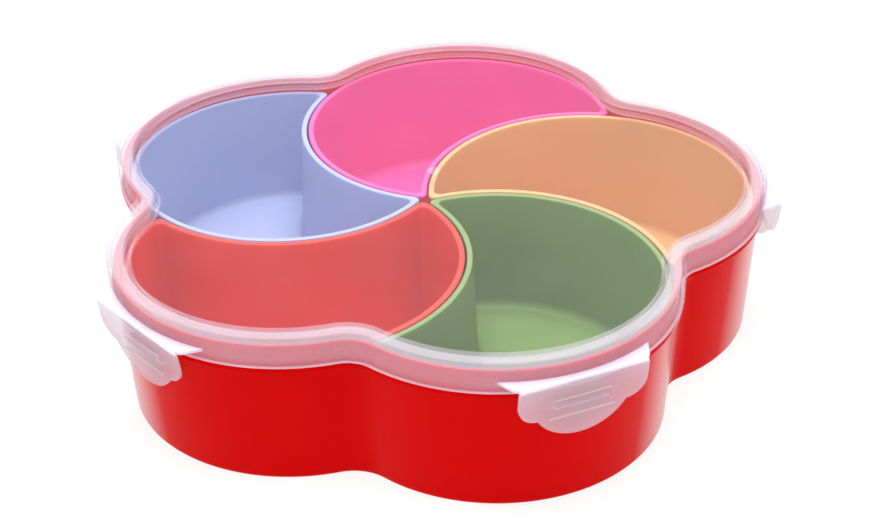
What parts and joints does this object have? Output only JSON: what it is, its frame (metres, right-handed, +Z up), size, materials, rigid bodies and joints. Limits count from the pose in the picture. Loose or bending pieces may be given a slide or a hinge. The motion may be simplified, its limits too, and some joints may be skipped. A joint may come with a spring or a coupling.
{
  "type": "chip and dip server",
  "caption": "Five-lobed flower serving tray with lift-out crescent compartments in different colours under a frosted press-on lid with hinged locking flaps.",
  "frame": {"origin": "on the flower axis, at the flat underside of the tray", "axes": "+Z up out of the tray; +Y points to the back lobe, which holds the pink insert"},
  "size_m": [0.2858, 0.2722, 0.067],
  "materials": {
    "tray": "opaque, glossy",
    "insert_pink": "translucent, smooth",
    "insert_blue": "translucent, smooth",
    "insert_red": "translucent, smooth",
    "insert_green": "translucent, smooth",
    "insert_orange": "translucent, smooth",
    "lid": "frosted translucent",
    "seal": "soft, milky"
  },
  "bodies": {
    "tray": {"tray": "tray"},
    "insert_pink": {"insert_pink": "insert_pink"},
    "insert_blue": {"insert_blue": "insert_blue"},
    "insert_red": {"insert_red": "insert_red"},
    "insert_green": {"insert_green": "insert_green"},
    "insert_orange": {"insert_orange": "insert_orange"},
    "lid": {"lid": "lid", "lid_seal": "seal", "hinge_back": "lid", "hinge_left": "lid", "hinge_front_left": "lid", "hinge_front_right": "lid", "hinge_right": "lid"},
    "flap_back": {"flap_back": "lid"},
    "flap_left": {"flap_left": "lid"},
    "flap_front_left": {"flap_front_left": "lid"},
    "flap_front_right": {"flap_front_right": "lid"},
    "flap_right": {"flap_right": "lid"}
  },
  "joints": [
    {"name": "lid_lift", "type": "slide", "parent": "tray", "child": "lid", "axis": [0, 0, 1], "range_m": [0, 0.16]},
    {"name": "insert_pink_lift", "type": "slide", "parent": "tray", "child": "insert_pink", "axis": [0, 0, 1], "range_m": [0, 0.072]},
    {"name": "insert_blue_lift", "type": "slide", "parent": "tray", "child": "insert_blue", "axis": [0, 0, 1], "range_m": [0, 0.072]},
    {"name": "insert_red_lift", "type": "slide", "parent": "tray", "child": "insert_red", "axis": [0, 0, 1], "range_m": [0, 0.072]},
    {"name": "insert_green_lift", "type": "slide", "parent": "tray", "child": "insert_green", "axis": [0, 0, 1], "range_m": [0, 0.072]},
    {"name": "insert_orange_lift", "type": "slide", "parent": "tray", "child": "insert_orange", "axis": [0, 0, 1], "range_m": [0, 0.072]},
    {"name": "flap_back_hinge", "type": "hinge", "parent": "lid", "child": "flap_back", "pos_m": [0, 0.1413, 0.058], "axis": [1, 0, 0], "range_deg": [0, 135]},
    {"name": "flap_left_hinge", "type": "hinge", "parent": "lid", "child": "flap_left", "pos_m": [-0.13438, 0.04366, 0.058], "axis": [0.309, 0.9511, 0], "range_deg": [0, 135]},
    {"name": "flap_front_left_hinge", "type": "hinge", "parent": "lid", "child": "flap_front_left", "pos_m": [-0.08305, -0.11431, 0.058], "axis": [-0.809, 0.5878, 0], "range_deg": [0, 135]},
    {"name": "flap_front_right_hinge", "type": "hinge", "parent": "lid", "child": "flap_front_right", "pos_m": [0.08305, -0.11431, 0.058], "axis": [-0.809, -0.5878, 0], "range_deg": [0, 135]},
    {"name": "flap_right_hinge", "type": "hinge", "parent": "lid", "child": "flap_right", "pos_m": [0.13438, 0.04366, 0.058], "axis": [0.309, -0.9511, 0], "range_deg": [0, 135]}
  ],
  "couplings": [
    {"joint": "insert_pink_lift", "follows": "lid_lift", "ratio": 0.45},
    {"joint": "insert_blue_lift", "follows": "lid_lift", "ratio": 0.45},
    {"joint": "insert_red_lift", "follows": "lid_lift", "ratio": 0.45},
    {"joint": "insert_green_lift", "follows": "lid_lift", "ratio": 0.45},
    {"joint": "insert_orange_lift", "follows": "lid_lift", "ratio": 0.45}
  ]
}
